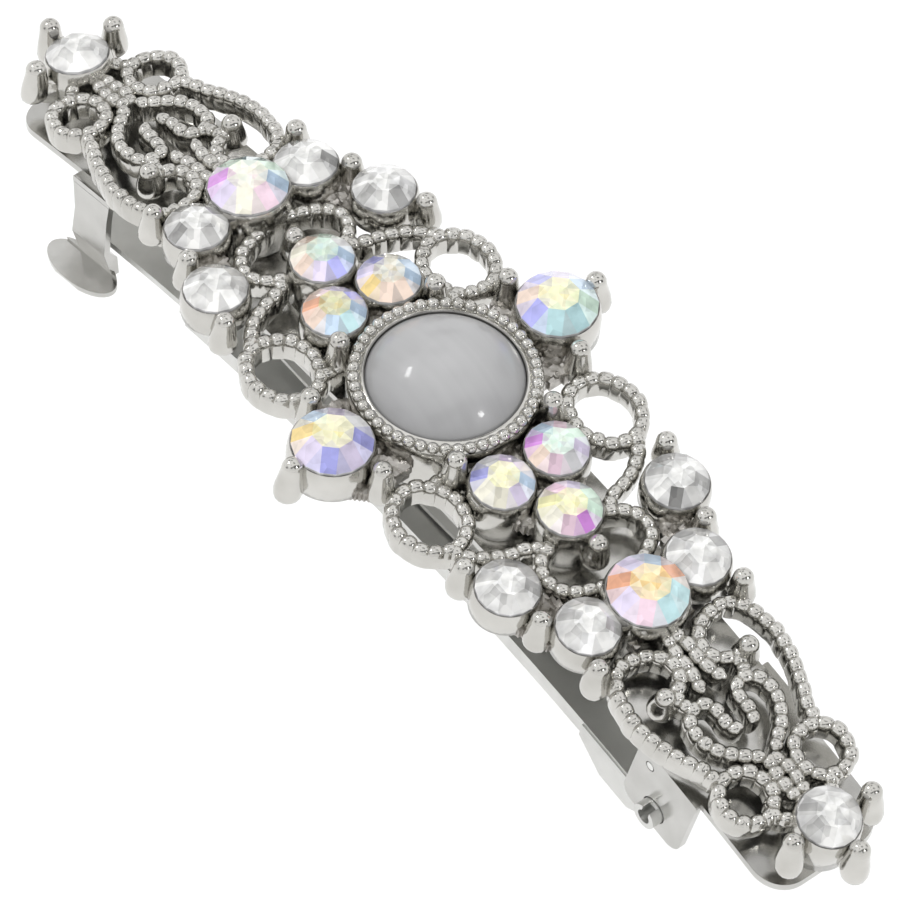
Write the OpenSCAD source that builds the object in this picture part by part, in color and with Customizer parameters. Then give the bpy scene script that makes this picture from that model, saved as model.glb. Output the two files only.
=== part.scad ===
// Rhinestone hair barrette: a cast filigree top with set stones, on an
// automatic barrette clip. Length runs along X, the clasp hinge is at +X,
// the wearer's head is below, and Z = 0 is the lowest point of the clip.

/* [Arch] */
// Radius of the arch on which the girdles of the small stones lie
arch_r = 150; // [130:5:200]
// Height of that arch above the lowest point of the clip, at mid length
deck_z = 15.4; // [15.3:0.1:17]

/* [Stones] */
// Diameter of the round cabochon
cabochon_d = 10; // [9.6:0.1:10.2]
// Height of the cabochon's dome above its rim
cabochon_dome = 2.6; // [1.5:0.1:3.5]
// Diameter of the large iridescent stones
large_d = 5; // [4.6:0.1:5.1]
// Diameter of the small stones, iridescent and clear
small_d = 3.9; // [3.6:0.1:4]
// Height of the large stones' girdles above the small ones'
large_lift = 0.5; // [0.4:0.1:0.8]

/* [Casting] */
// Width of a filigree wall
wall_w = 1; // [0.8:0.05:1.2]
// Depth of the filigree walls' tops below the girdle arch
lace_top = 0.9; // [0.6:0.1:1.2]
// Depth of the casting's underside below the girdle arch
casting_base = 3.4; // [3.3:0.1:3.6]
// Thickness of the cup wall round a stone
cup_wall = 0.35; // [0.3:0.05:0.45]
// Diameter of a post that holds a stone
post_d = 1.1; // [0.9:0.1:1.3]

/* [Clip] */
// Thickness of the stamped base plate
plate_t = 0.5; // [0.4:0.05:0.6]
// Half the length of the base plate along the arch
plate_half_l = 39; // [36:0.5:40]
// Half the width of the base plate across its folded ears
plate_half_w = 5; // [4.95:0.05:5.1]
// Thickness of the clasp arm's sheet
arm_t = 0.5; // [0.4:0.05:0.5]
// Outer diameter of the arm's rolled pivot tabs
pivot_d = 1.8; // [1.5:0.1:2]
// Radial clearance of the two pivots in the ears
pivot_gap = 0.07; // [0.05:0.01:0.1]
// Thickness of the bowed spring bar
spring_t = 0.3; // [0.25:0.05:0.35]
// Radius of the spring bar's bow
spring_r = 225; // [210:5:260]

/* [Hidden] */
$fn = 48;
arch_zc = deck_z - arch_r;
eps = 0.01;

// Stone centres as [distance along the arch, distance across]
large_stones = [[0, 8.9], [0, -8.9], [-19.5, 0], [19.5, 0]];
cluster = [[12.1, 0], [8.2, 2.15], [8.2, -2.15]];
side_pair = [[14.3, 6.7], [19.2, 4.35]];
end_s = 37.3;
small_ab_stones = [for (m = [-1, 1], p = cluster) [m * p[0], p[1]]];
clear_stones = [for (m = [-1, 1], n = [-1, 1], p = side_pair) [m * p[0], n * p[1]]];
end_stones = [[-end_s, 0], [end_s, 0]];

// Posts as [along, across, height above the girdle arch]
quarter_posts = [[5.7, 3.8, 0.7], [11.7, 8, 0], [17.3, 6.5, 0], [21.9, 5.7, 0],
                 [25.5, 3.3, -0.6], [37.9, 3, 0.3], [3.5, 7.8, 0.4]];
axis_posts = [[14.9, -0.4], [40.5, 0.5]];
tip_posts = [[0, 12, 0.4]];

cabochon_h = -0.5;
bezel_top = 0.55;
bezel_wall = 1.12;
cup_top = 0.25;
pocket_depth = 1.75;
table_ratio = 0.54;
crown_ratio = 0.22;
lace_base = 2.4;
web_top = lace_top + 0.5;
web_base = 3.25;

plate_top = -casting_base;
plate_bottom = plate_top - plate_t;
strip_half_w = plate_half_w - 0.45;
ear_t = 0.5;
ear_in = plate_half_w - ear_t;
hinge_s = 28.9;
hinge_h = -8.2;
root_s = 27.4;
root_h = plate_bottom - 0.75;
root_d = 0.8;
root_pin_d = 0.6;
side_play = 0.1;

arm_top = -9.3;
arm_half_w = 4.3;
arm_tip_half_w = 3.9;
arm_flange = 1.3;
cheek_out = ear_in - side_play;
spring_half_w = 2.8;
spring_mid_z = deck_z - 8.75;

catch_x = -28.9;
leg_t = 0.45;
leg_w = 3.7;
leg_top_h = plate_bottom - 0.45;
catch_s = arch_r * asin(catch_x / (arch_r + leg_top_h)) * PI / 180;
petal_y = 6.8;
petal_low = 7.435;
lip_in = arm_tip_half_w + 0.12;

function arch_x(s, h) = (arch_r + h) * sin(s / arch_r * 180 / PI);
function arch_z(s, h) = arch_zc + (arch_r + h) * cos(s / arch_r * 180 / PI);
function lean(s) = s / arch_r * 180 / PI;
function oval(c, rx, ry, n) =
    [for (i = [0 : n - 1]) c + [rx * cos(i * 360 / n), ry * sin(i * 360 / n)]];

// Places its children on the arch, upright along the arch's own normal
module on_arch(s, y, h) {
    translate([arch_x(s, h), y, arch_z(s, h)]) rotate([0, lean(s), 0]) children();
}

// Arched slab between two heights over the girdle arch
module arch_slab(h_low, h_high, half_w) {
    translate([0, half_w, arch_zc]) rotate([90, 0, 0]) difference() {
        cylinder(r = arch_r + h_high, h = 2 * half_w, $fn = 200);
        translate([0, 0, -1]) cylinder(r = arch_r + h_low, h = 2 * half_w + 2, $fn = 200);
    }
}

// Runs its 2D children straight up through the whole part
module column() {
    translate([0, 0, -1]) linear_extrude(deck_z + 6) children();
}

module both_ends() { children(); mirror([1, 0, 0]) children(); }
module both_sides() { children(); mirror([0, 1, 0]) children(); }

// Closed wall of even width round a circle
module ring_wall(c, r) {
    translate(c) difference() {
        circle(r = r + wall_w / 2);
        circle(r = r - wall_w / 2);
    }
}

// Wall that runs through a list of points, each stretch lapping the next
module path_wall(points) {
    lap = wall_w / 4;
    for (i = [0 : len(points) - 2]) {
        d = points[i + 1] - points[i];
        translate(points[i]) rotate(atan2(d[1], d[0]))
            translate([-lap, -wall_w / 2]) square([norm(d) + 2 * lap, wall_w]);
    }
}

// One quarter of the filigree, seen from above
module lace_quarter() {
    ring_wall([6.95, 6.85], 2.35);
    path_wall([[9.5, 7.6], [11.2, 6.2], [12.4, 4.2], [13, 2.6]]);
    path_wall([[22.1, 4.5], [23.5, 5.5], [25.2, 5.85], [27.3, 5.4], [30, 4], [31.6, 3.9]]);
    ring_wall([33.2, 3], 1.7);
    path_wall([[22.3, 4.6], [22.3, 2.6], [23.3, 1.4], [24.6, 1.4], [25.4, 2.3], [25.5, 3.3]]);
    path_wall([[5.7, 3.8], [4.6, 6.1], [3, 8.6]]);
    path_wall([[34.5, 2.2], [35.9, 1.4]]);
    path_wall([[25.4, 2.3], [26.8, 2.2]]);
    path_wall([[0, 10.5], [0, 12]]);
    path_wall([[36.8, 1.6], [37.8, 3]]);
    path_wall([[11.7, 8], [14, 7]]);
    path_wall([[15.4, 6.7], [17.3, 6.5], [18, 5.2]]);
    path_wall([[21.9, 5.7], [20.4, 4.8]]);
}

// The filigree on the long axis of one end
module lace_axis() {
    ring_wall([15.1, 0], 3.2);
    ring_wall([28.7, 0], 2.95);
    path_wall([[31.6, 0], [33.4, 0.9], [35.4, 0.4]]);
    path_wall([[31.6, 0], [33.4, -0.9], [35.4, -0.4]]);
    path_wall([[22, 0], [25.9, 0]]);
    path_wall([[28, 0], [31.2, 0]]);
    path_wall([[38.5, 0], [40.4, 0]]);
}

module lace_shape() {
    intersection() {
        arch_slab(-lace_base, -lace_top, 14);
        column() both_ends() { both_sides() lace_quarter(); lace_axis(); }
    }
}

// Solid webs that tie the outer cups to the bezel
module webs() {
    intersection() {
        arch_slab(-web_base, -web_top, 14);
        column() {
            both_sides() polygon([[-3.3, 5], [3.3, 5], [3.9, 8.2], [1.5, 10.5],
                                  [-1.5, 10.5], [-3.9, 8.2]]);
            both_ends() {
                polygon([[5, -2.2], [8.2, -4.3], [12.4, -1.4], [12.4, 1.4], [8.2, 4.3], [5, 2.2]]);
                both_sides() polygon([[13.2, 5.6], [18.6, 2.9], [20.3, 5.6], [15.2, 8]]);
                polygon([[17.6, -2], [21.6, -2.4], [21.6, 2.4], [17.6, 2]]);
            }
        }
    }
}

module cup(s, y, stone_d, lift) {
    on_arch(s, y, -casting_base)
        cylinder(d = stone_d + 2 * cup_wall, h = casting_base + lift + cup_top);
}

module pocket(s, y, stone_d, lift) {
    on_arch(s, y, lift - pocket_depth) cylinder(d = stone_d, h = pocket_depth + 4);
}

module post(s, y, h) {
    on_arch(s, y, -casting_base) cylinder(d = post_d, h = casting_base + h + post_d / 2);
}

module posts() {
    both_ends() {
        both_sides() for (p = quarter_posts) post(p[0], p[1], p[2]);
        for (p = axis_posts) post(p[0], 0, p[1]);
    }
    both_sides() for (p = tip_posts) post(p[0], p[1], p[2]);
}

module filigree_frame() {
    small_stones = concat(small_ab_stones, clear_stones, end_stones);
    color("silver") union() {
        difference() {
            union() {
                lace_shape();
                webs();
                on_arch(0, 0, -casting_base)
                    cylinder(d = cabochon_d + 2 * bezel_wall, h = casting_base + bezel_top);
                for (p = large_stones) cup(p[0], p[1], large_d, large_lift);
                for (p = small_stones) cup(p[0], p[1], small_d, 0);
            }
            on_arch(0, 0, cabochon_h) cylinder(d = cabochon_d, h = 4);
            for (p = large_stones) pocket(p[0], p[1], large_d, large_lift);
            for (p = small_stones) pocket(p[0], p[1], small_d, 0);
        }
        posts();
    }
}

module cabochon() {
    dome_r = (pow(cabochon_d / 2, 2) + pow(cabochon_dome, 2)) / (2 * cabochon_dome);
    color("lightgrey") on_arch(0, 0, cabochon_h) union() {
        cylinder(d = cabochon_d, h = -cabochon_h);
        intersection() {
            translate([0, 0, -cabochon_h]) cylinder(d = cabochon_d, h = cabochon_dome + 1);
            translate([0, 0, -cabochon_h + cabochon_dome - dome_r]) sphere(r = dome_r, $fn = 96);
        }
    }
}

// Cut stone: eight-sided crown and table, round girdle, eight-sided pavilion
module cut_stone(s, y, d, lift) {
    girdle = 0.3;
    on_arch(s, y, lift) {
        translate([0, 0, -girdle / 2]) cylinder(d = d, h = girdle);
        translate([0, 0, girdle / 2 - eps])
            cylinder(d1 = d, d2 = d * table_ratio, h = d * crown_ratio, $fn = 8);
        translate([0, 0, -pocket_depth])
            cylinder(d1 = 0.3, d2 = d, h = pocket_depth - girdle / 2 + eps, $fn = 8);
    }
}

// Base plate: arched strip with round ends and two pierced ears at the hinge
module base_plate() {
    corner = 2.2;
    end_x = arch_x(plate_half_l, plate_top);
    color("gainsboro") difference() {
        union() {
            intersection() {
                arch_slab(plate_bottom, plate_top, plate_half_w);
                column() {
                    square([2 * (end_x - corner), 2 * strip_half_w], center = true);
                    square([2 * end_x, 2 * (strip_half_w - corner)], center = true);
                    both_ends() both_sides()
                        translate([end_x - corner, strip_half_w - corner]) circle(r = corner);
                    both_sides() translate([arch_x(hinge_s, plate_top) - 2.6, 0])
                        square([5.2, plate_half_w]);
                }
            }
            both_sides() ear();
        }
        on_arch(hinge_s, 0, hinge_h) rotate([90, 0, 0])
            cylinder(d = pivot_d + 2 * pivot_gap, h = 12, center = true);
        on_arch(root_s, 0, root_h) rotate([90, 0, 0])
            cylinder(d = root_pin_d + 2 * pivot_gap, h = 12, center = true);
    }
}

// Ear bent down from the plate's edge
module ear() {
    half_w = 2.7;
    foot = 1.6;
    corner = 1.1;
    rise = plate_top - hinge_h - 0.15;
    translate([0, -ear_in, 0]) on_arch(hinge_s, 0, hinge_h) rotate([90, 0, 0])
        linear_extrude(ear_t) {
            translate([-half_w, corner - foot]) square([2 * half_w, rise + foot - corner]);
            translate([corner - half_w, -foot]) square([2 * (half_w - corner), foot]);
            for (m = [-1, 1]) translate([m * (half_w - corner), corner - foot]) circle(r = corner);
        }
}

// Cross strap of the catch, flat against the underside of the plate
module catch_saddle() {
    color("silver") intersection() {
        arch_slab(leg_top_h, plate_bottom, plate_half_w);
        translate([catch_x - leg_w / 2, -plate_half_w, 0])
            cube([leg_w, 2 * plate_half_w, deck_z]);
    }
}

// Sprung leg of the catch, on the -Y side: tapered neck, inner lip, flared petal
module catch_leg() {
    y_in = plate_half_w - leg_t;
    lip_out = lip_in + 0.55;
    section = [[-plate_half_w, 0], [-plate_half_w, -4.9], [-lip_out, -6.9],
               [-petal_y, 0.35 - petal_low], [-petal_y + 0.1, -petal_low],
               [-lip_in - 0.1, 0.3 - petal_low], [-lip_in, 0.45 - petal_low],
               [-lip_in, -5.6], [-y_in, -4.9], [-y_in, 0]];
    neck = [[-leg_w / 2, 0], [leg_w / 2, 0], [1.35, -1.6], [0.6, -4.8], [0.5, -7],
            [-2.9, -7], [-2.8, -4.8], [-2.1, -2.4]];
    petal = oval([-1.6, -petal_y + 1.4], 3.25, 1.4, 32);
    on_arch(catch_s, 0, leg_top_h - 0.035) {
        intersection() {
            translate([-6, 0, 0]) rotate([90, 0, 90]) linear_extrude(9) polygon(section);
            union() {
                rotate([90, 0, 0]) linear_extrude(9) polygon(neck);
                translate([0, 0, -9]) linear_extrude(2.3) polygon(petal);
            }
        }
        translate([-0.7, -y_in - eps, -4.4]) cube([0.4, y_in - lip_in, 2.2]);
    }
}

module catch_leg_near() { color("gainsboro") catch_leg(); }
module catch_leg_far() { color("gainsboro") mirror([0, 1, 0]) catch_leg(); }

// Clasp arm: arched channel, narrow tip, deep cheeks and rolled pivot tabs
module clasp_arm() {
    tip_s = -31.5;
    step_s = -20.5;
    neck_s = 21;
    tail_s = 27;
    hub_r = 1.6;
    color("silver") {
        difference() {
            intersection() {
                arch_slab(arm_top - arm_flange, arm_top, 5);
                column() {
                    translate([step_s, -arm_half_w]) square([tail_s - step_s, 2 * arm_half_w]);
                    translate([tip_s + 1.5, -arm_tip_half_w])
                        square([step_s - tip_s, 2 * arm_tip_half_w]);
                    translate([tip_s, 1.5 - arm_tip_half_w])
                        square([4, 2 * (arm_tip_half_w - 1.5)]);
                    both_sides() translate([tip_s + 1.5, arm_tip_half_w - 1.5]) circle(r = 1.5);
                }
            }
            arch_slab(arm_top - arm_flange - 1, arm_top - arm_t, arm_half_w - arm_t);
            intersection() {
                arch_slab(arm_top - arm_flange - 1, arm_top - arm_t, 6);
                translate([-40, -7, -1]) cube([40.6 + step_s, 14, deck_z]);
            }
            translate([-24.6, -2, 0]) cube([2.6, 4, deck_z]);
        }
        both_sides() cheek(neck_s, hub_r);
    }
}

// Deep side cheek that carries the pivot tab, on the +Y side
module cheek(from_s, hub_r) {
    shoulder = arm_top - 0.25;
    points = [[from_s, shoulder], [from_s, arm_top - arm_flange - 0.15], [23.6, -12.3],
              [26.5, -12.3], [29.6, -9.9], [30.3, -8.9], [28.9, -7.2], [27.6, -7.6],
              [26.4, shoulder]];
    difference() {
        union() {
            translate([0, cheek_out, 0]) rotate([90, 0, 0]) linear_extrude(arm_t)
                polygon([for (p = points) [arch_x(p[0], p[1]), arch_z(p[0], p[1])]]);
            on_arch(hinge_s, cheek_out, hinge_h) rotate([90, 0, 0]) cylinder(r = hub_r, h = arm_t);
            on_arch(hinge_s, plate_half_w + 0.8, hinge_h) rotate([90, 0, 0])
                cylinder(d = pivot_d, h = plate_half_w + 0.8 - cheek_out + arm_t);
        }
        on_arch(hinge_s, plate_half_w + 2, hinge_h) rotate([90, 0, 0])
            cylinder(d = pivot_d - 0.8, h = 4);
        on_arch(hinge_s, plate_half_w + 0.1, hinge_h) translate([-0.3, 0, 0]) cube([0.6, 1, 2]);
    }
}

// Bowed spring bar with two long ribs and a rolled root that turns in the ears
module spring_bar() {
    free_x = -26.5;
    root_x = arch_x(root_s, root_h);
    root_z = arch_z(root_s, root_h);
    bow_zc = spring_mid_z + spring_r;
    color("gainsboro") {
        intersection() {
            bow_slab(bow_zc, spring_r, spring_r + spring_t, spring_half_w);
            column() {
                translate([free_x + spring_half_w, 0]) circle(r = spring_half_w);
                translate([free_x + spring_half_w, -spring_half_w])
                    square([root_x - free_x - spring_half_w, 2 * spring_half_w]);
            }
        }
        for (y = [-1.2, 1.2]) intersection() {
            translate([0, y, 0]) bow_slab(bow_zc, spring_r - 0.2, spring_r + spring_t / 2, 0.25);
            translate([free_x + 3, -4, 0]) cube([root_x - free_x - 5, 8, deck_z]);
        }
        translate([root_x, spring_half_w, root_z]) rotate([90, 0, 0])
            cylinder(d = root_d, h = 2 * spring_half_w);
        translate([root_x, plate_half_w, root_z]) rotate([90, 0, 0])
            cylinder(d = root_pin_d, h = 2 * plate_half_w);
    }
}

// Slab that bows downward between two radii
module bow_slab(zc, r_in, r_out, half_w) {
    translate([0, half_w, zc]) rotate([90, 0, 0]) difference() {
        cylinder(r = r_out, h = 2 * half_w, $fn = 240);
        translate([0, 0, -1]) cylinder(r = r_in, h = 2 * half_w + 2, $fn = 240);
    }
}

filigree_frame();
cabochon();
for (i = [1 : len(large_stones)])
    color("lavender")
            cut_stone(large_stones[i - 1][0], large_stones[i - 1][1], large_d, large_lift);
for (i = [1 : len(small_ab_stones)])
    color("lightyellow")
            cut_stone(small_ab_stones[i - 1][0], small_ab_stones[i - 1][1], small_d, 0);
for (i = [1 : len(clear_stones)])
    color("white") cut_stone(clear_stones[i - 1][0], clear_stones[i - 1][1], small_d, 0);
for (i = [1 : len(end_stones)])
    color("white") cut_stone(end_stones[i - 1][0], end_stones[i - 1][1], small_d, 0);
base_plate();
catch_saddle();
catch_leg_near();
catch_leg_far();
clasp_arm();
spring_bar();
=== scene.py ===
import math
import random

import bpy
import numpy as np
from mathutils import Matrix, Vector, noise


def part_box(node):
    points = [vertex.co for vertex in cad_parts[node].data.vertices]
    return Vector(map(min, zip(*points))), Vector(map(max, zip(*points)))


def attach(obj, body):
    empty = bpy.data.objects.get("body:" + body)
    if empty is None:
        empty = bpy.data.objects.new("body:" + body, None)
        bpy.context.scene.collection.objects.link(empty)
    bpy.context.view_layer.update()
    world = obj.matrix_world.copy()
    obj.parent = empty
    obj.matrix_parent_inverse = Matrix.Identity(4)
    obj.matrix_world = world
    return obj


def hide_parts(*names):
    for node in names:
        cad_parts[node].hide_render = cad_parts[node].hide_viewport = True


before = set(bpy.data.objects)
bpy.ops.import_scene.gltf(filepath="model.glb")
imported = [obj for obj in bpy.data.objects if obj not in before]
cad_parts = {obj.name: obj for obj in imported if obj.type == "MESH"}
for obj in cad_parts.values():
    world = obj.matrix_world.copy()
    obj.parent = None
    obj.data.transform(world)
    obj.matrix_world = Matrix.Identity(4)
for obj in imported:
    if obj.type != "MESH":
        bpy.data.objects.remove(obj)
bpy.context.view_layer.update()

# Sizes are in millimetres, along the arch (s), across it (y) and above the stones' girdles (h).
# The girdles of the small stones lie on a cylinder of radius ARCH_R. WEB_TOP and each _BASE
# and _DEPTH are depths below it.
MM = 0.001
SHARP_ANGLE = 38
ARCH_R = 150.0
CASTING_BASE = 3.4
DECK_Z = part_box("base_plate")[1].z / MM + CASTING_BASE

# Beaded walls; a bead is BEAD_STEPS sections long
LACE_BASE = 2.4
BEAD_PITCH = 0.88
BEAD_STEPS = 8
SPLINE_STEPS = 20

# Webs, as a grid of square cells
WEB_TOP = 1.3
WEB_BASE = 2.1
WEB_STEP = 0.2
GRAIN_SCALE, GRAIN_HEIGHT, GRAIN_NOISE = 2.6, 0.34, 0.07

# Cups, which are shallower where they stand beside the plate
CUP_WALL = 0.35
CUP_DEPTH = 2.2
CUP_SIDES = 40
PLATE_HALF_W = 4.3

# The collar round the cabochon
COLLAR_WALL = 1.12
COLLAR_PITCH = 0.78
COLLAR_BEAD = (0.43, 0.43, 0.42)
COLLAR_BEAD_OUT, COLLAR_BEAD_H = 0.66, 0.2
ROUND_SIDES = 96

# Posts: the profile is (share of the depth from the ball down, radius), and a foot stands out
# LEAN_ACROSS times as much across the clip as along it
BALL_R = 0.68
POST_BASE = 2.3
POST_SIDES = 18
LEAN_ACROSS = 2.5
POST_PROFILE = [(0.0, BALL_R), (0.12, 0.71), (0.3, 0.79), (0.55, 0.9), (0.75, 0.94),
                (0.88, 0.88), (0.96, 0.72), (1.0, 0.5)]

# Stones
CABOCHON_D = 10.0
CABOCHON_DOME = 2.6
DOME_STEPS = 22
LARGE_D, LARGE_LIFT = 5.0, 0.5
SMALL_D = 3.9
TABLE_RATIO = 0.54
CROWN_RATIO = 0.22
FACETS = 8
GIRDLE_OVER = 0.07
GIRDLE_TOP, GIRDLE_LOW, CULET = 0.1, -0.12, -1.6

CLUSTER = [(12.1, 0.0), (8.2, 2.15), (8.2, -2.15)]
SIDE_PAIR = [(14.3, 6.7), (19.2, 4.35)]
END_S = 37.3

# Posts: along, across, height of the ball, and how far the foot stands outwards
QUARTER_POSTS = [(5.7, 3.8, 0.7, 0.0), (11.7, 8.0, 0.0, 0.2), (17.3, 6.5, 0.0, 0.2),
                 (21.9, 5.7, 0.0, 0.2), (25.5, 3.3, -0.6, 0.0), (37.5, 3.1, 0.3, 0.6),
                 (3.5, 7.8, 0.4, 0.0)]
AXIS_POSTS = [(14.9, 0.0, -0.4, 0.0), (40.1, 0.0, 0.5, 0.5)]
TIP_POST = (0.0, 12.0, 0.4, 0.3)

# In metres: the floor lies low enough for the open arm to hang clear of it
FLOOR_Z = -0.056
FLOOR_HALF = 3.0

# In metres and watts: name, place, width and height, power, mirrored by the metal or not
LIGHTS = [("overhead", (0.0, 0.0, 1.0), (0.9, 0.9), 3.5, False),
          ("left", (-0.48, -0.24, 0.59), (0.16, 0.07), 0.6, True),
          ("right", (0.62, 0.2, 0.46), (0.08, 0.08), 0.5, True)]
WORLD_STRENGTH = 1.15

# The camera's direction from the clip in degrees, its distance in metres, and its lens
AZIMUTH, ELEVATION, ROLL = 47.0, 52.3, 5.0
DISTANCE = 0.518
LENS, SENSOR = 337.8, 36.0
SHIFT = (0.0051, -0.0804)

random.seed(7)
noise.seed_set(7)


def arch(s, y, h):
    """A place on the arch, as a point in millimetres."""
    a = s / ARCH_R
    return Vector(((ARCH_R + h) * math.sin(a), y, DECK_Z - ARCH_R + (ARCH_R + h) * math.cos(a)))


def arch_axes(s):
    """The directions along the arch, across it and away from it."""
    a = s / ARCH_R
    return (Vector((math.cos(a), 0, -math.sin(a))), Vector((0, 1, 0)),
            Vector((math.sin(a), 0, math.cos(a))))


def arch_matrix(s, y, h):
    """The place, in metres, of a piece that is modelled upright round its own origin."""
    x, y_axis, z = arch_axes(s)
    m = Matrix((x, y_axis, z)).transposed().to_4x4()
    m.translation = arch(s, y, h) * MM
    return m


# ---------------------------------------------------------------- mesh helpers

class Shell:
    """The points and faces of one piece, gathered in millimetres."""

    def __init__(self):
        self.points, self.faces = [], []

    def add(self, points, faces):
        base = len(self.points)
        self.points += [tuple(p) for p in points]
        self.faces += [tuple(base + i for i in f) for f in faces]

    def rings(self, rings, closed_along=False):
        """Skins a list of rings that all have the same number of points, and caps its ends."""
        n, m = len(rings), len(rings[0])
        faces = []
        for i in range(n if closed_along else n - 1):
            a, b = i * m, (i + 1) % n * m
            faces += [(a + k, a + (k + 1) % m, b + (k + 1) % m, b + k) for k in range(m)]
        if not closed_along:
            faces += [tuple(reversed(range(m))), tuple((n - 1) * m + k for k in range(m))]
        self.add([p for ring in rings for p in ring], faces)

    def piece(self, name, material, place=None):
        """Makes the mesh, rounds it off and puts it on the clip's fixed body."""
        mesh = bpy.data.meshes.new(name)
        mesh.from_pydata([Vector(p) * MM for p in self.points], [], self.faces)
        mesh.validate()
        mesh.shade_smooth()
        mesh.set_sharp_from_angle(angle=math.radians(SHARP_ANGLE))
        obj = bpy.data.objects.new(name, mesh)
        bpy.context.scene.collection.objects.link(obj)
        mesh.materials.append(material)
        if place:
            obj.matrix_world = place
        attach(obj, "clip_base")
        return obj


def resample(points, step, closed=False):
    """Even steps along a smooth curve through a few points, a whole number of beads long."""
    pts, n = np.array(points, float), len(points)
    dense = []
    for i in range(n if closed else n - 1):
        p1, p2 = pts[i], pts[(i + 1) % n]
        p0 = pts[i - 1] if closed or i else 2 * p1 - p2
        p3 = pts[(i + 2) % n] if closed or i + 2 < n else 2 * p2 - p1
        for t in np.linspace(0, 1, SPLINE_STEPS, endpoint=False):
            dense.append(0.5 * (2 * p1 + (p2 - p0) * t + (2 * p0 - 5 * p1 + 4 * p2 - p3) * t ** 2
                                + (3 * p1 - p0 - 3 * p2 + p3) * t ** 3))
    dense = np.array(dense + [pts[0] if closed else pts[-1]])
    run = np.concatenate([[0], np.cumsum(np.linalg.norm(np.diff(dense, axis=0), axis=1))])
    beads = max(1, round(run[-1] / step))
    at = np.linspace(0, run[-1], beads * BEAD_STEPS + 1)
    line = np.stack([np.interp(at, run, dense[:, k]) for k in (0, 1)], 1)
    return line[:-1] if closed else line


def turn(count):
    """Even angles round a full turn."""
    return [2 * math.pi * k / count for k in range(count)]


def oval(c, rx, ry):
    return [(c[0] + rx * math.cos(a), c[1] + ry * math.sin(a)) for a in turn(16)]


def wall_section(b):
    """Half outline of a beaded wall, as (offset, height); b is 1 over a bead and 0 between two."""
    return [(0.38 + 0.04 * b, -LACE_BASE), (0.41 + 0.08 * b, -LACE_BASE + 0.25),
            (0.40 + 0.11 * b, -1.55), (0.36 + 0.17 * b, -1.2), (0.27 + 0.16 * b, -1.0 + 0.13 * b),
            (0.1 + 0.08 * b, -0.94 + 0.26 * b)]


def beaded_wall(shell, points, closed=False, beads=True):
    """A filigree wall with a row of uneven cast beads along its top, rounded off at its ends."""
    line = resample(points, BEAD_PITCH, closed)
    n = len(line)
    uneven = [(random.uniform(0.75, 1.15), random.uniform(-0.06, 0.06))
              for _ in range(n // BEAD_STEPS + 1)]
    rings = []
    for k, p in enumerate(line):
        before = line[k - 1] if closed or k else p
        after = line[(k + 1) % n] if closed or k + 1 < n else p
        t = (after - before) / np.linalg.norm(after - before)
        u = (k % BEAD_STEPS) / BEAD_STEPS * 2 - 1
        size, side = uneven[k // BEAD_STEPS]
        b = size * (0.2 + 0.8 * math.sqrt(max(0.0, 1 - u * u))) if beads else 0.4
        width = 1.0 if closed else min(1.0, math.sqrt((min(k, n - 1 - k) + 0.4) / 4))
        half = wall_section(b)
        outline = [(o * width + side * b, h) for o, h in half]
        outline += [(side * b - o * width, h) for o, h in reversed(half)]
        rings.append([arch(p[0] - t[1] * o, p[1] + t[0] * o, h) for o, h in outline])
    shell.rings(rings, closed)


def turned(shell, origin, axes, profile, sides, closed=False):
    """A turned form round the third axis; profile is (radius, height) from its foot up."""
    x, y, z = axes
    rings = []
    for r, h in profile:
        rings.append([origin + x * (r * math.cos(a)) + y * (r * math.sin(a)) + z * h
                      for a in turn(sides)])
    shell.rings(rings, closed)


def ball(shell, centre, radii, axes, rings=8, count=14):
    """A closed ball, or a flattened one."""
    points = [centre - axes[2] * radii[2]]
    for i in range(1, rings):
        a = math.pi * (i / rings - 0.5)
        for b in turn(count):
            points.append(centre + axes[0] * (radii[0] * math.cos(a) * math.cos(b))
                          + axes[1] * (radii[1] * math.cos(a) * math.sin(b))
                          + axes[2] * (radii[2] * math.sin(a)))
    points.append(centre + axes[2] * radii[2])
    faces = [(0, 1 + (k + 1) % count, 1 + k) for k in range(count)]
    for i in range(rings - 2):
        a, b = 1 + i * count, 1 + (i + 1) * count
        faces += [(a + k, a + (k + 1) % count, b + (k + 1) % count, b + k) for k in range(count)]
    last, top = 1 + (rings - 2) * count, len(points) - 1
    faces += [(last + k, last + (k + 1) % count, top) for k in range(count)]
    shell.add(points, faces)


# ---------------------------------------------------------------- the casting

# Centre lines as (s, y). A QUARTER list is mirrored to both ends and both sides, and an AXIS
# list to both ends. PLAIN walls have no beads.
LACE_QUARTER = [
    [(9.7, 7.5), (11.0, 6.5), (11.9, 5.0), (12.3, 3.6), (12.9, 2.4)],
    [(22.0, 4.2), (23.2, 5.15), (24.6, 5.55), (26.0, 5.6), (27.6, 5.3), (29.1, 4.75),
     (30.4, 4.15), (31.6, 3.8)],
    [(22.2, 4.4), (22.15, 2.9), (22.7, 1.7), (23.8, 1.15), (24.9, 1.5), (25.4, 2.4), (25.5, 3.3)],
    [(31.8, 0.3), (31.1, 1.3), (30.1, 2.35), (28.8, 2.95), (27.5, 2.75), (26.85, 1.9),
     (27.2, 1.05), (28.1, 0.9), (29.1, 0.85), (29.6, 0.3)],
    [(25.4, 2.3), (26.1, 2.45), (26.8, 2.1)],
    [(34.7, 2.4), (35.5, 2.0), (35.9, 1.3)],
    [(5.5, 3.5), (5.2, 4.6), (5.5, 5.6)],
]
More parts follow.
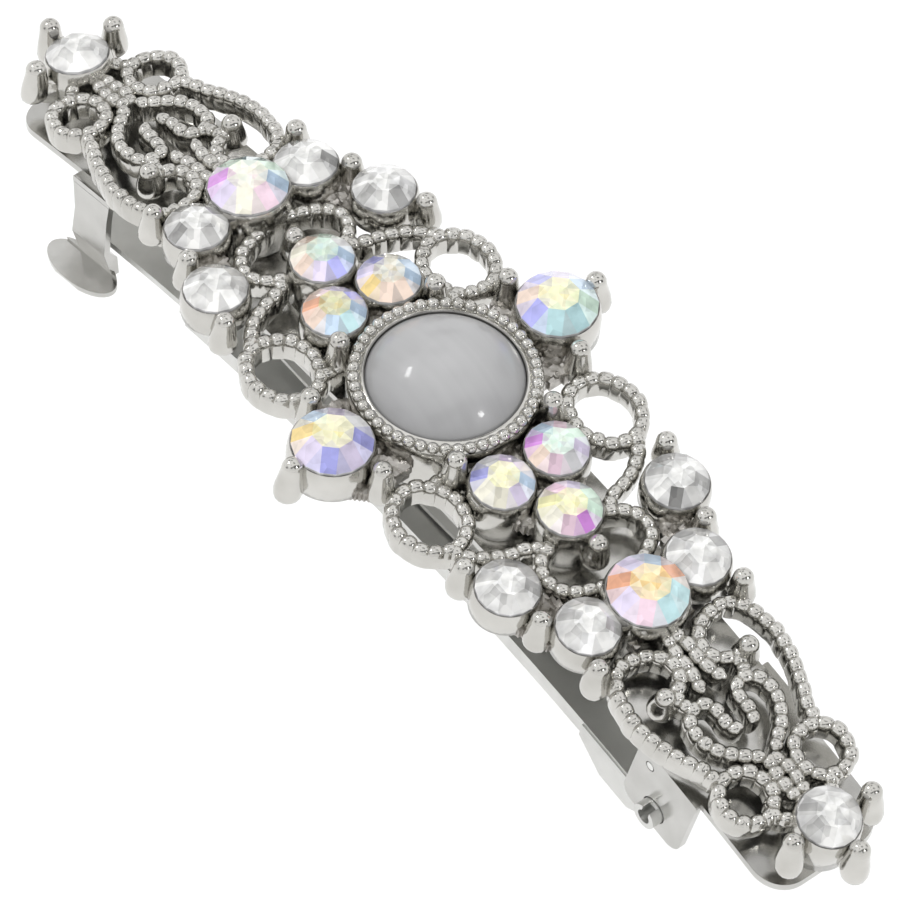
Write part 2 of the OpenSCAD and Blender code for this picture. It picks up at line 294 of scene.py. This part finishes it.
# Ovals as centre, radius along and radius across
QUARTER_OVALS = [((7.2, 6.95), 2.55, 2.2), ((33.3, 3.0), 1.75, 1.7)]
LACE_AXIS = [
    [(21.8, 0.2), (23.2, 0.5), (24.6, 0.5), (26.4, 0.9)],
    [(31.8, 0.1), (33.2, 0.5), (35.2, 0.3)],
]
AXIS_OVALS = [((14.9, 0.0), 2.35, 3.9)]
PLAIN_QUARTER = [
    [(0.0, 10.6), (0.0, 12.0)], [(36.8, 1.6), (37.9, 3.0)], [(11.7, 8.0), (13.4, 7.0)],
    [(17.3, 6.5), (18.0, 5.3)], [(17.3, 6.5), (15.6, 6.6)], [(21.9, 5.7), (20.4, 4.8)],
]
PLAIN_AXIS = [[(38.8, 0.0), (40.4, 0.0)]]


def mirrored(points, ends, sides):
    """A list of points in each of its mirror images."""
    return [[(e * p[0], m * p[1]) for p in points] for e in ends for m in sides]


def lace(shell):
    both = (1, -1)
    for points in LACE_QUARTER + LACE_AXIS:
        for image in mirrored(points, both, both):
            beaded_wall(shell, image)
    for points in PLAIN_QUARTER:
        for image in mirrored(points, both, both):
            beaded_wall(shell, image, beads=False)
    for points in PLAIN_AXIS:
        for image in mirrored(points, both, (1,)):
            beaded_wall(shell, image, beads=False)
    for c, rx, ry in QUARTER_OVALS:
        for image in mirrored(oval(c, rx, ry), both, both):
            beaded_wall(shell, image, closed=True)
    for c, rx, ry in AXIS_OVALS:
        for image in mirrored(oval(c, rx, ry), both, (1,)):
            beaded_wall(shell, image, closed=True)


def bezel(shell):
    """The collar round the cabochon, with its ring of beads."""
    inner, outer = CABOCHON_D / 2, CABOCHON_D / 2 + COLLAR_WALL
    profile = [(outer - 0.05, -CASTING_BASE), (outer, -0.9), (outer, -0.1), (outer - 0.1, 0.12),
               (outer - 0.5, 0.2), (inner + 0.34, 0.14), (inner + 0.2, 0.24),
               (inner + 0.1, 0.26), (inner + 0.02, 0.18), (inner + 0.02, -0.6),
               (inner - 0.8, -0.7), (inner - 0.8, -CASTING_BASE)]
    turned(shell, arch(0, 0, 0), arch_axes(0), profile, ROUND_SIDES, closed=True)
    ring_r = inner + COLLAR_BEAD_OUT
    for a in turn(round(2 * math.pi * ring_r / COLLAR_PITCH)):
        s, y = ring_r * math.cos(a), ring_r * math.sin(a)
        ball(shell, arch(s, y, COLLAR_BEAD_H), COLLAR_BEAD, arch_axes(s))


def cup(shell, s, y, d, lift):
    """The cup round one stone, open at the top."""
    r = d / 2
    rim = lift - 0.06
    foot = -CASTING_BASE if abs(y) < PLATE_HALF_W else -CUP_DEPTH
    profile = [(r + CUP_WALL - 0.3, foot), (r + CUP_WALL - 0.06, foot + 0.3),
               (r + CUP_WALL - 0.03, rim - 0.9), (r + CUP_WALL - 0.12, rim - 0.2),
               (r + 0.14, rim), (r + 0.03, rim - 0.08), (r - 0.02, rim - 0.3),
               (r - 0.05, lift - 1.6), (r - 0.6, lift - 1.75), (r - 0.6, foot)]
    turned(shell, arch(s, y, 0), arch_axes(s), profile, CUP_SIDES, closed=True)


def stone_settings(shell):
    bezel(shell)
    for _, s, y, d, lift in stone_places():
        cup(shell, s, y, d, lift)


def post(shell, s, y, h, foot):
    """A cast post with a ball on top, whose foot is wider and stands further out."""
    x, y_axis, z = arch_axes(s)
    outwards = Vector((s, LEAN_ACROSS * y, 0))
    outwards = outwards.normalized() if outwards.length else outwards
    lean = x * (outwards.x * foot) + y_axis * (outwards.y * foot)
    top = arch(s, y, h)
    depth = POST_BASE + h
    rings = []
    for t, r in reversed(POST_PROFILE):
        c = top - z * (depth * t) + lean * t
        rings.append([c + x * (r * math.cos(a)) + y_axis * (r * math.sin(a))
                      for a in turn(POST_SIDES)])
    shell.rings(rings)
    ball(shell, top, (BALL_R, BALL_R, BALL_R), (x, y_axis, z), 10, POST_SIDES)


def posts(shell):
    for s, y, h, foot in QUARTER_POSTS:
        for e in (1, -1):
            for m in (1, -1):
                post(shell, e * s, m * y, h, foot)
    for s, y, h, foot in AXIS_POSTS:
        for e in (1, -1):
            post(shell, e * s, y, h, foot)
    s, y, h, foot = TIP_POST
    for m in (1, -1):
        post(shell, s, m * y, h, foot)


def inside(p, outline):
    """Is a point inside a polygon?"""
    found = False
    for (ax, ay), (bx, by) in zip(outline, outline[1:] + outline[:1]):
        if (ay > p[1]) != (by > p[1]) and p[0] < (bx - ax) * (p[1] - ay) / (by - ay) + ax:
            found = not found
    return found


def web(shell, outline):
    """A rough cast web between cups: a grainy top over upright sides and a flat underside."""
    xs, ys = [p[0] for p in outline], [p[1] for p in outline]
    nx = math.ceil((max(xs) - min(xs)) / WEB_STEP)
    ny = math.ceil((max(ys) - min(ys)) / WEB_STEP)
    index, points, faces = {}, [], []

    def place(i, j):
        return min(xs) + i * WEB_STEP, min(ys) + j * WEB_STEP

    def corner(i, j, low):
        if (i, j, low) not in index:
            s, y = place(i, j)
            grain = noise.noise(Vector((s * GRAIN_SCALE, y * GRAIN_SCALE, 0))) * GRAIN_HEIGHT
            grain += random.uniform(-GRAIN_NOISE, GRAIN_NOISE)
            index[(i, j, low)] = len(points)
            points.append(arch(s, y, -WEB_BASE if low else -WEB_TOP + grain))
        return index[(i, j, low)]

    def middle(i, j):
        s, y = place(i, j)
        return s + WEB_STEP / 2, y + WEB_STEP / 2

    cells = {(i, j) for i in range(nx) for j in range(ny) if inside(middle(i, j), outline)}

    for i, j in sorted(cells):
        ring = [(i, j), (i + 1, j), (i + 1, j + 1), (i, j + 1)]
        faces.append(tuple(corner(a, b, False) for a, b in ring))
        faces.append(tuple(corner(a, b, True) for a, b in reversed(ring)))
        beside = [(i, j - 1), (i + 1, j), (i, j + 1), (i - 1, j)]
        for k, other in enumerate(beside):
            if other not in cells:
                a, b = ring[k], ring[(k + 1) % 4]
                faces.append((corner(*b, False), corner(*a, False), corner(*a, True),
                              corner(*b, True)))
    shell.add(points, faces)


def webs(shell):
    web(shell, [(-3.3, 5.0), (3.3, 5.0), (3.9, 8.2), (1.5, 10.5), (-1.5, 10.5), (-3.9, 8.2)])
    web(shell, [(-3.3, -5.0), (-3.9, -8.2), (-1.5, -10.5), (1.5, -10.5), (3.9, -8.2), (3.3, -5.0)])
    for e in (1, -1):
        web(shell, [(e * s, y) for s, y in [(5.0, -2.2), (8.2, -4.3), (12.4, -1.4), (12.4, 1.4),
                                            (8.2, 4.3), (5.0, 2.2)]])
        web(shell, [(e * s, y) for s, y in [(17.6, -2.0), (21.6, -2.4), (21.6, 2.4), (17.6, 2.0)]])
        for m in (1, -1):
            web(shell, [(e * s, m * y) for s, y in [(13.2, 5.6), (18.6, 2.9), (20.3, 5.6),
                                                    (15.2, 8.0)]])


def stone_places():
    """Every stone as (node, s, y, diameter, lift), numbered as the CAD's nodes are."""
    large = [(0, 8.9), (0, -8.9), (-19.5, 0), (19.5, 0)]
    small = [(e * s, y) for e in (-1, 1) for s, y in CLUSTER]
    clear = [(e * s, m * y) for e in (-1, 1) for m in (-1, 1) for s, y in SIDE_PAIR]
    ends = [(-END_S, 0), (END_S, 0)]
    groups = [("large_iridescent_stone", large, LARGE_D, LARGE_LIFT),
              ("small_iridescent_stone", small, SMALL_D, 0.0),
              ("clear_stone", clear, SMALL_D, 0.0), ("end_stone", ends, SMALL_D, 0.0)]
    return [(f"{name}_{i + 1}", s, y, d, lift)
            for name, places, d, lift in groups for i, (s, y) in enumerate(places)]


# ---------------------------------------------------------------- materials

def new_material(name):
    """A new material, with its node tree and its shader."""
    m = bpy.data.materials.new(name)
    m.use_nodes = True
    tree = m.node_tree
    return m, tree, tree.nodes["Principled BSDF"]


def node(tree, kind, inputs=None, **options):
    """A node whose inputs are each linked to a socket or set to a value."""
    n = tree.nodes.new(kind)
    for key, value in options.items():
        setattr(n, key, value)
    for key, value in (inputs or {}).items():
        if isinstance(value, bpy.types.NodeSocket):
            tree.links.new(value, n.inputs[key])
        else:
            n.inputs[key].default_value = value
    return n


def ramp(tree, fac, stops):
    """A colour ramp over fac; stops is a list of (place, grey or colour)."""
    n = node(tree, "ShaderNodeValToRGB", {"Fac": fac})
    elements = n.color_ramp.elements
    while len(elements) < len(stops):
        elements.new(1)
    for e, (place, colour) in zip(elements, stops):
        e.position = place
        e.color = (*colour, 1) if isinstance(colour, tuple) else (colour, colour, colour, 1)
    return n.outputs["Color"]


def blend(tree, mode, a, b, share=1.0):
    """Two colours put together as MULTIPLY, LIGHTEN or MIX."""
    n = node(tree, "ShaderNodeMix", {"Factor": share}, data_type="RGBA", blend_type=mode)
    tree.links.new(a, n.inputs["A"])
    tree.links.new(b, n.inputs["B"])
    return n.outputs["Result"]


def metal(name, colour, shade, rough, grain, grain_scale, bump):
    """Plated metal: colour and polish vary a little, over a cast or rolled surface."""
    m, tree, shader = new_material(name)
    where = node(tree, "ShaderNodeTexCoord").outputs["Object"]
    cloud = node(tree, "ShaderNodeTexNoise", {"Vector": where, "Scale": 420.0, "Detail": 3.0})
    fine = node(tree, "ShaderNodeTexNoise",
                {"Vector": where, "Scale": grain_scale, "Detail": 4.0, "Roughness": 0.6})
    tree.links.new(ramp(tree, cloud.outputs["Fac"], [(0.3, shade), (0.7, colour)]),
                   shader.inputs["Base Color"])
    tree.links.new(ramp(tree, fine.outputs["Fac"], [(0.3, rough), (0.75, rough + grain)]),
                   shader.inputs["Roughness"])
    relief = node(tree, "ShaderNodeBump",
                  {"Strength": bump, "Distance": 0.00006, "Height": fine.outputs["Fac"]})
    tree.links.new(relief.outputs["Normal"], shader.inputs["Normal"])
    shader.inputs["Metallic"].default_value = 1.0
    return m


def facet_material(name, rough, low, high, glints):
    """Cut glass on foil: each facet's colour, darkened and lightened by painted reflections and
    glints of the foil seen through it.
    """
    m, tree, shader = new_material(name)
    where = node(tree, "ShaderNodeTexCoord").outputs["Object"]
    tint = node(tree, "ShaderNodeVertexColor", layer_name="facet").outputs["Color"]
    # Painted reflection: cells of random grey with bright glints, softened by cloud, stand for the
    # foil's reflections.
    cells = node(tree, "ShaderNodeTexVoronoi", {"Vector": where, "Scale": 950.0})
    value = node(tree, "ShaderNodeRGBToBW", {"Color": cells.outputs["Color"]})
    grey = ramp(tree, value.outputs["Val"], [(0.25, low), (0.5, high), (0.78, glints)])
    cloud = node(tree, "ShaderNodeTexNoise", {"Vector": where, "Scale": 900.0, "Detail": 2.0})
    soft = ramp(tree, cloud.outputs["Fac"], [(0.35, low), (0.62, 1.0)])
    painted_reflections = blend(tree, "MIX", grey, soft, 0.5)
    tree.links.new(blend(tree, "MULTIPLY", tint, painted_reflections), shader.inputs["Base Color"])
    shader.inputs["Roughness"].default_value = rough
    shader.inputs["Metallic"].default_value = 0.25
    shader.inputs["Coat Weight"].default_value = 1.0
    shader.inputs["Coat Roughness"].default_value = 0.02
    shader.inputs["IOR"].default_value = 1.58
    return m


def cabochon_material():
    """Cat's-eye glass: grey white, with fine fibres across it, and painted light and shade: a soft
    pale middle that darkens towards the rim.
    """
    m, tree, shader = new_material("cats_eye_glass")
    where = node(tree, "ShaderNodeTexCoord").outputs["Object"]
    across = node(tree, "ShaderNodeMapping", {
        "Vector": where, "Rotation": (0, 0, math.radians(39)), "Scale": (60.0, 1800.0, 60.0)})
    fibres = node(tree, "ShaderNodeTexNoise",
                  {"Vector": across.outputs["Vector"], "Scale": 1.0, "Detail": 3.0})
    # Painted light and shade: a gradient that is palest round the middle of the dome and darker
    # towards its rim.
    band = node(tree, "ShaderNodeMapping", {
        "Vector": where, "Location": (-0.001, 0.0012, 0), "Scale": (130.0, 130.0, 60.0)})
    painted_light_spot = node(tree, "ShaderNodeTexGradient", {"Vector": band.outputs["Vector"]},
                gradient_type="SPHERICAL")
    base = ramp(tree, painted_light_spot.outputs["Fac"], [
        (0.0, (0.27, 0.27, 0.275)), (0.55, (0.36, 0.36, 0.365)), (1.0, (0.43, 0.43, 0.435))])
    lines = ramp(tree, fibres.outputs["Fac"], [(0.35, 0.96), (0.65, 1.0)])
    tree.links.new(blend(tree, "MULTIPLY", base, lines), shader.inputs["Base Color"])
    shader.inputs["Roughness"].default_value = 0.35
    shader.inputs["Coat Weight"].default_value = 0.45
    shader.inputs["Coat Roughness"].default_value = 0.05
    shader.inputs["Subsurface Weight"].default_value = 0.15
    shader.inputs["Subsurface Radius"].default_value = (0.001, 0.001, 0.001)
    return m


# ---------------------------------------------------------------- stones

WHITE = (0.93, 0.93, 0.94)
MINT, CREAM, LEMON = (0.74, 0.95, 0.80), (0.95, 0.92, 0.78), (0.97, 0.93, 0.50)
AMBER, RUST, PEACH = (0.95, 0.72, 0.28), (0.88, 0.42, 0.24), (0.93, 0.74, 0.62)
CYAN, SKY, BLUE = (0.60, 0.88, 0.92), (0.60, 0.76, 0.95), (0.45, 0.46, 0.92)
LILAC, PINK, MAGENTA = (0.80, 0.72, 0.93), (0.93, 0.70, 0.82), (0.76, 0.32, 0.85)
GREY = (0.78, 0.78, 0.80)

# Table colour, then the crown facets' colours anticlockwise from the +X side
IRIDESCENCE = {
    "large_iridescent_stone_1": (LEMON, [CYAN, MINT, SKY, LILAC, BLUE, PEACH, BLUE, CYAN]),
    "large_iridescent_stone_2": (LEMON, [LILAC, BLUE, WHITE, LILAC, SKY, AMBER, LILAC, BLUE]),
    "large_iridescent_stone_3": (CREAM, [PINK, SKY, MINT, CYAN, MINT, MAGENTA, LILAC, CREAM]),
    "large_iridescent_stone_4": (AMBER, [CYAN, CYAN, RUST, SKY, LILAC, RUST, LILAC, PINK]),
    "small_iridescent_stone_1": (MINT, [BLUE, SKY, WHITE, MINT, PEACH, CREAM, PEACH, LILAC]),
    "small_iridescent_stone_2": (CREAM, [PEACH, SKY, SKY, CREAM, BLUE, LILAC, AMBER, PEACH]),
    "small_iridescent_stone_3": (LEMON, [CYAN, SKY, BLUE, LILAC, PEACH, RUST, PEACH, SKY]),
    "small_iridescent_stone_4": (LEMON, [MAGENTA, MINT, MINT, LILAC, PINK, LEMON, CREAM, PINK]),
    "small_iridescent_stone_5": (MINT, [GREY, LILAC, MINT, PINK, SKY, MAGENTA, PEACH, PINK]),
    "small_iridescent_stone_6": (LEMON, [LILAC, SKY, WHITE, LILAC, GREY, BLUE, CREAM, CREAM]),
}


def mix(a, b, share):
    return tuple(p + (q - p) * share for p, q in zip(a, b))


def circle_points(radius, count, h, start):
    return [(radius * math.cos(start + a), radius * math.sin(start + a), h) for a in turn(count)]


def clear_painted_reflections():
    """The table colour, and a grey for each facet, painted as the reflections that the foil shows
    through clear glass.
    """
    greys = [random.choice((0.34, 0.50, 0.68, 0.84, 0.94, 0.98)) for _ in range(FACETS)]
    return (0.93, 0.93, 0.91), [(g, g * 0.995, g * 0.975) for g in greys]


def stone(name, s, y, d, lift, material):
    """A round stone: table, eight main crown facets, and a small one between each pair.

    The table is cut into wedges, whose colours are painted reflections of the back facets seen
    through it; some wedges and the small crown facets are whitened as painted highlights.
    """
    r, crown, step = d / 2, d * CROWN_RATIO, 2 * math.pi / FACETS
    table_tint, tints = IRIDESCENCE.get(name) or clear_painted_reflections()
    table = circle_points(r * TABLE_RATIO, FACETS, crown, step / 2)
    star = circle_points(r * TABLE_RATIO * 0.5, FACETS, crown, 0)
    girdle = circle_points(r + GIRDLE_OVER, 2 * FACETS, GIRDLE_TOP, step / 4)
    low = circle_points(r + GIRDLE_OVER, 2 * FACETS, GIRDLE_LOW, step / 4)
    points = table + star + girdle + low + [(0, 0, crown), (0, 0, CULET)]
    st, g, lo = FACETS, 2 * FACETS, 4 * FACETS
    centre, culet = len(points) - 2, len(points) - 1
    faces, colours = [], []

    def facet(corners, colour, spread=0.0):
        bright = 1 + random.uniform(-spread, spread)
        faces.append(corners)
        colours.append(tuple(min(1.0, c * bright) for c in colour))

    for k in range(FACETS):
        before, after = (k - 1) % FACETS, (k + 1) % FACETS
        here, beside = tints[k], tints[after]
        opposite = tints[(k + FACETS // 2) % FACETS]
        # Painted reflection and highlight: table wedges take in the opposite facet's colour, and
        # some wedges and the small facets are mixed with white.
        facet((st + before, st + k, centre), mix(table_tint, opposite, 0.2), 0.08)
        facet((before, k, st + k), mix(table_tint, here, 0.35), 0.1)
        facet((k, st + after, st + k), mix(table_tint, WHITE, 0.35), 0.1)
        facet((g + (2 * k - 1) % (2 * FACETS), g + 2 * k, k, before), here, 0.05)
        facet((g + 2 * k, g + 2 * k + 1, k), mix(mix(here, beside, 0.5), WHITE, 0.25), 0.12)
    for k in range(2 * FACETS):
        k2 = (k + 1) % (2 * FACETS)
        facet((lo + k, lo + k2, g + k2, g + k), GREY)
        facet((lo + k2, lo + k, culet), GREY)
    mesh = bpy.data.meshes.new(name + "_cut")
    mesh.from_pydata([Vector(p) * MM for p in points], [], faces)
    layer = mesh.color_attributes.new("facet", "FLOAT_COLOR", "CORNER")
    for polygon, colour in zip(mesh.polygons, colours):
        for loop in polygon.loop_indices:
            layer.data[loop].color = (*colour, 1)
    mesh.materials.append(material)
    obj = bpy.data.objects.new(name + "_cut", mesh)
    bpy.context.scene.collection.objects.link(obj)
    obj.matrix_world = arch_matrix(s, y, lift)
    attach(obj, "clip_base")
    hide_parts(name)


def cabochon(material):
    """The round dome, which rises out of its collar."""
    shell = Shell()
    rim = CABOCHON_D / 2 - 0.02
    dome_r = (rim ** 2 + CABOCHON_DOME ** 2) / (2 * CABOCHON_DOME)
    half = math.asin(rim / dome_r)
    profile = [(0.01, -0.5), (rim, -0.5)]
    for k in range(DOME_STEPS + 1):
        a = half * (1 - k / DOME_STEPS)
        profile.append((max(0.01, dome_r * math.sin(a)),
                        CABOCHON_DOME - dome_r * (1 - math.cos(a))))
    turned(shell, Vector(), arch_axes(0), profile, ROUND_SIDES)
    obj = shell.piece("cabochon_dome", material, arch_matrix(0, 0, 0))
    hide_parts("cabochon")


# ---------------------------------------------------------------- build

def casting():
    """The filigree: walls, settings and posts of bright metal, and webs of rough metal, whose
    darker colour is painted shade.
    """
    silver = metal("bright_cast_silver", (0.62, 0.61, 0.58), (0.51, 0.50, 0.47),
                   0.10, 0.14, 1500.0, 0.2)
    # The webs' darker colour is painted shade for the hollows between the walls; their roughness
    # and grain are their own.
    rough_silver_painted_shade = metal("rough_cast_silver_painted_shade", (0.60, 0.58, 0.55), (0.34, 0.32, 0.295),
                         0.22, 0.3, 3400.0, 0.9)
    forms = [("filigree_walls", lace, silver), ("stone_settings", stone_settings, silver),
             ("cast_posts", posts, silver), ("cast_webs", webs, rough_silver_painted_shade)]
    for name, form, material in forms:
        shell = Shell()
        form(shell)
        obj = shell.piece(name, material)
        if name == "filigree_walls":
            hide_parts("filigree_frame")


def stones():
    iridescent = facet_material("iridescent_glass", 0.12, 0.60, 0.86, 0.98)
    clear = facet_material("clear_glass", 0.10, 0.42, 0.80, 0.98)
    for name, s, y, d, lift in stone_places():
        is_clear = name.startswith(("clear", "end"))
        stone(name, s, y, d, lift, clear if is_clear else iridescent)
    cabochon(cabochon_material())


def clip_parts():
    """The CAD's own sheet parts and spring, given their finishes."""
    sheet = metal("plated_sheet", (0.57, 0.565, 0.545), (0.48, 0.475, 0.455),
                  0.16, 0.10, 900.0, 0.04)
    # The spring bar is coloured much lighter than the other plated parts, as painted light where
    # it lies in shade under the plate.
    spring = metal("plated_spring_painted_light", (0.82, 0.82, 0.80), (0.74, 0.74, 0.72),
                   0.42, 0.12, 1200.0, 0.06)
    arm = metal("plated_arm", (0.68, 0.68, 0.66), (0.60, 0.60, 0.58), 0.36, 0.12, 1200.0, 0.06)
    finishes = {"base_plate": sheet, "catch_saddle": sheet, "catch_leg_near": sheet,
                "catch_leg_far": sheet, "clasp_arm": arm, "spring_bar": spring}
    for name, material in finishes.items():
        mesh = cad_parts[name].data
        mesh.materials.clear()
        mesh.materials.append(material)


# ---------------------------------------------------------------- floor, light and camera

def studio_floor():
    a = FLOOR_HALF
    mesh = bpy.data.meshes.new("floor")
    mesh.from_pydata([(-a, -a, 0), (a, -a, 0), (a, a, 0), (-a, a, 0)], [], [(0, 1, 2, 3)])
    floor = bpy.data.objects.new("floor", mesh)
    bpy.context.scene.collection.objects.link(floor)
    floor.location.z = FLOOR_Z
    m, _, shader = new_material("pale_floor")
    shader.inputs["Base Color"].default_value = (0.9, 0.9, 0.9, 1)
    shader.inputs["Roughness"].default_value = 0.7
    mesh.materials.append(m)


def soft_light(name, place, size, power, mirrored_too):
    """A soft box that faces the clip."""
    data = bpy.data.lights.new(name, "AREA")
    data.shape = "RECTANGLE"
    data.size, data.size_y = size
    data.energy = power
    light = bpy.data.objects.new(name, data)
    bpy.context.scene.collection.objects.link(light)
    light.location = place
    light.rotation_euler = Vector(place).to_track_quat("Z", "Y").to_euler()
    light.visible_glossy = mirrored_too


def studio_world():
    """A pale room with dark patches well above the horizon, for the bright metal to mirror."""
    world = bpy.data.worlds.new("studio")
    bpy.context.scene.world = world
    world.use_nodes = True
    tree = world.node_tree
    where = node(tree, "ShaderNodeTexCoord").outputs["Generated"]
    height = node(tree, "ShaderNodeSeparateXYZ", {"Vector": where}).outputs["Z"]
    pale = ramp(tree, height, [(0.0, 1.0), (0.25, 0.9), (0.45, 0.8), (0.65, 1.0), (1.0, 1.0)])
    cloud = node(tree, "ShaderNodeTexNoise", {"Vector": where, "Scale": 2.3, "Detail": 0.0})
    patches = ramp(tree, cloud.outputs["Fac"], [(0.38, 0.12), (0.45, 1.0)])
    horizon = ramp(tree, height, [(0.08, 1.0), (0.26, 0.0)])
    high = blend(tree, "LIGHTEN", patches, horizon)
    background = tree.nodes["Background"]
    tree.links.new(blend(tree, "MULTIPLY", pale, high), background.inputs["Color"])
    background.inputs["Strength"].default_value = WORLD_STRENGTH


def camera():
    """Looks from the near right and well above, through a long lens."""
    azimuth, elevation, roll = (math.radians(a) for a in (AZIMUTH, ELEVATION, ROLL))
    back = Vector((math.sin(azimuth) * math.cos(elevation),
                   -math.cos(azimuth) * math.cos(elevation), math.sin(elevation)))
    right = Vector((math.cos(azimuth), math.sin(azimuth), 0))
    up = back.cross(right)
    x = right * math.cos(roll) + up * math.sin(roll)
    y = up * math.cos(roll) - right * math.sin(roll)
    data = bpy.data.cameras.new("camera")
    data.lens, data.sensor_width = LENS, SENSOR
    data.shift_x, data.shift_y = SHIFT
    data.clip_start = 0.02
    obj = bpy.data.objects.new("camera", data)
    bpy.context.scene.collection.objects.link(obj)
    m = Matrix((x, y, back)).transposed().to_4x4()
    m.translation = Vector((0, 0, DECK_Z * MM)) + back * DISTANCE
    obj.matrix_world = m
    bpy.context.scene.camera = obj


casting()
stones()
clip_parts()
studio_floor()
studio_world()
for light in LIGHTS:
    soft_light(*light)
camera()
bpy.context.scene.view_settings.view_transform = "Standard"
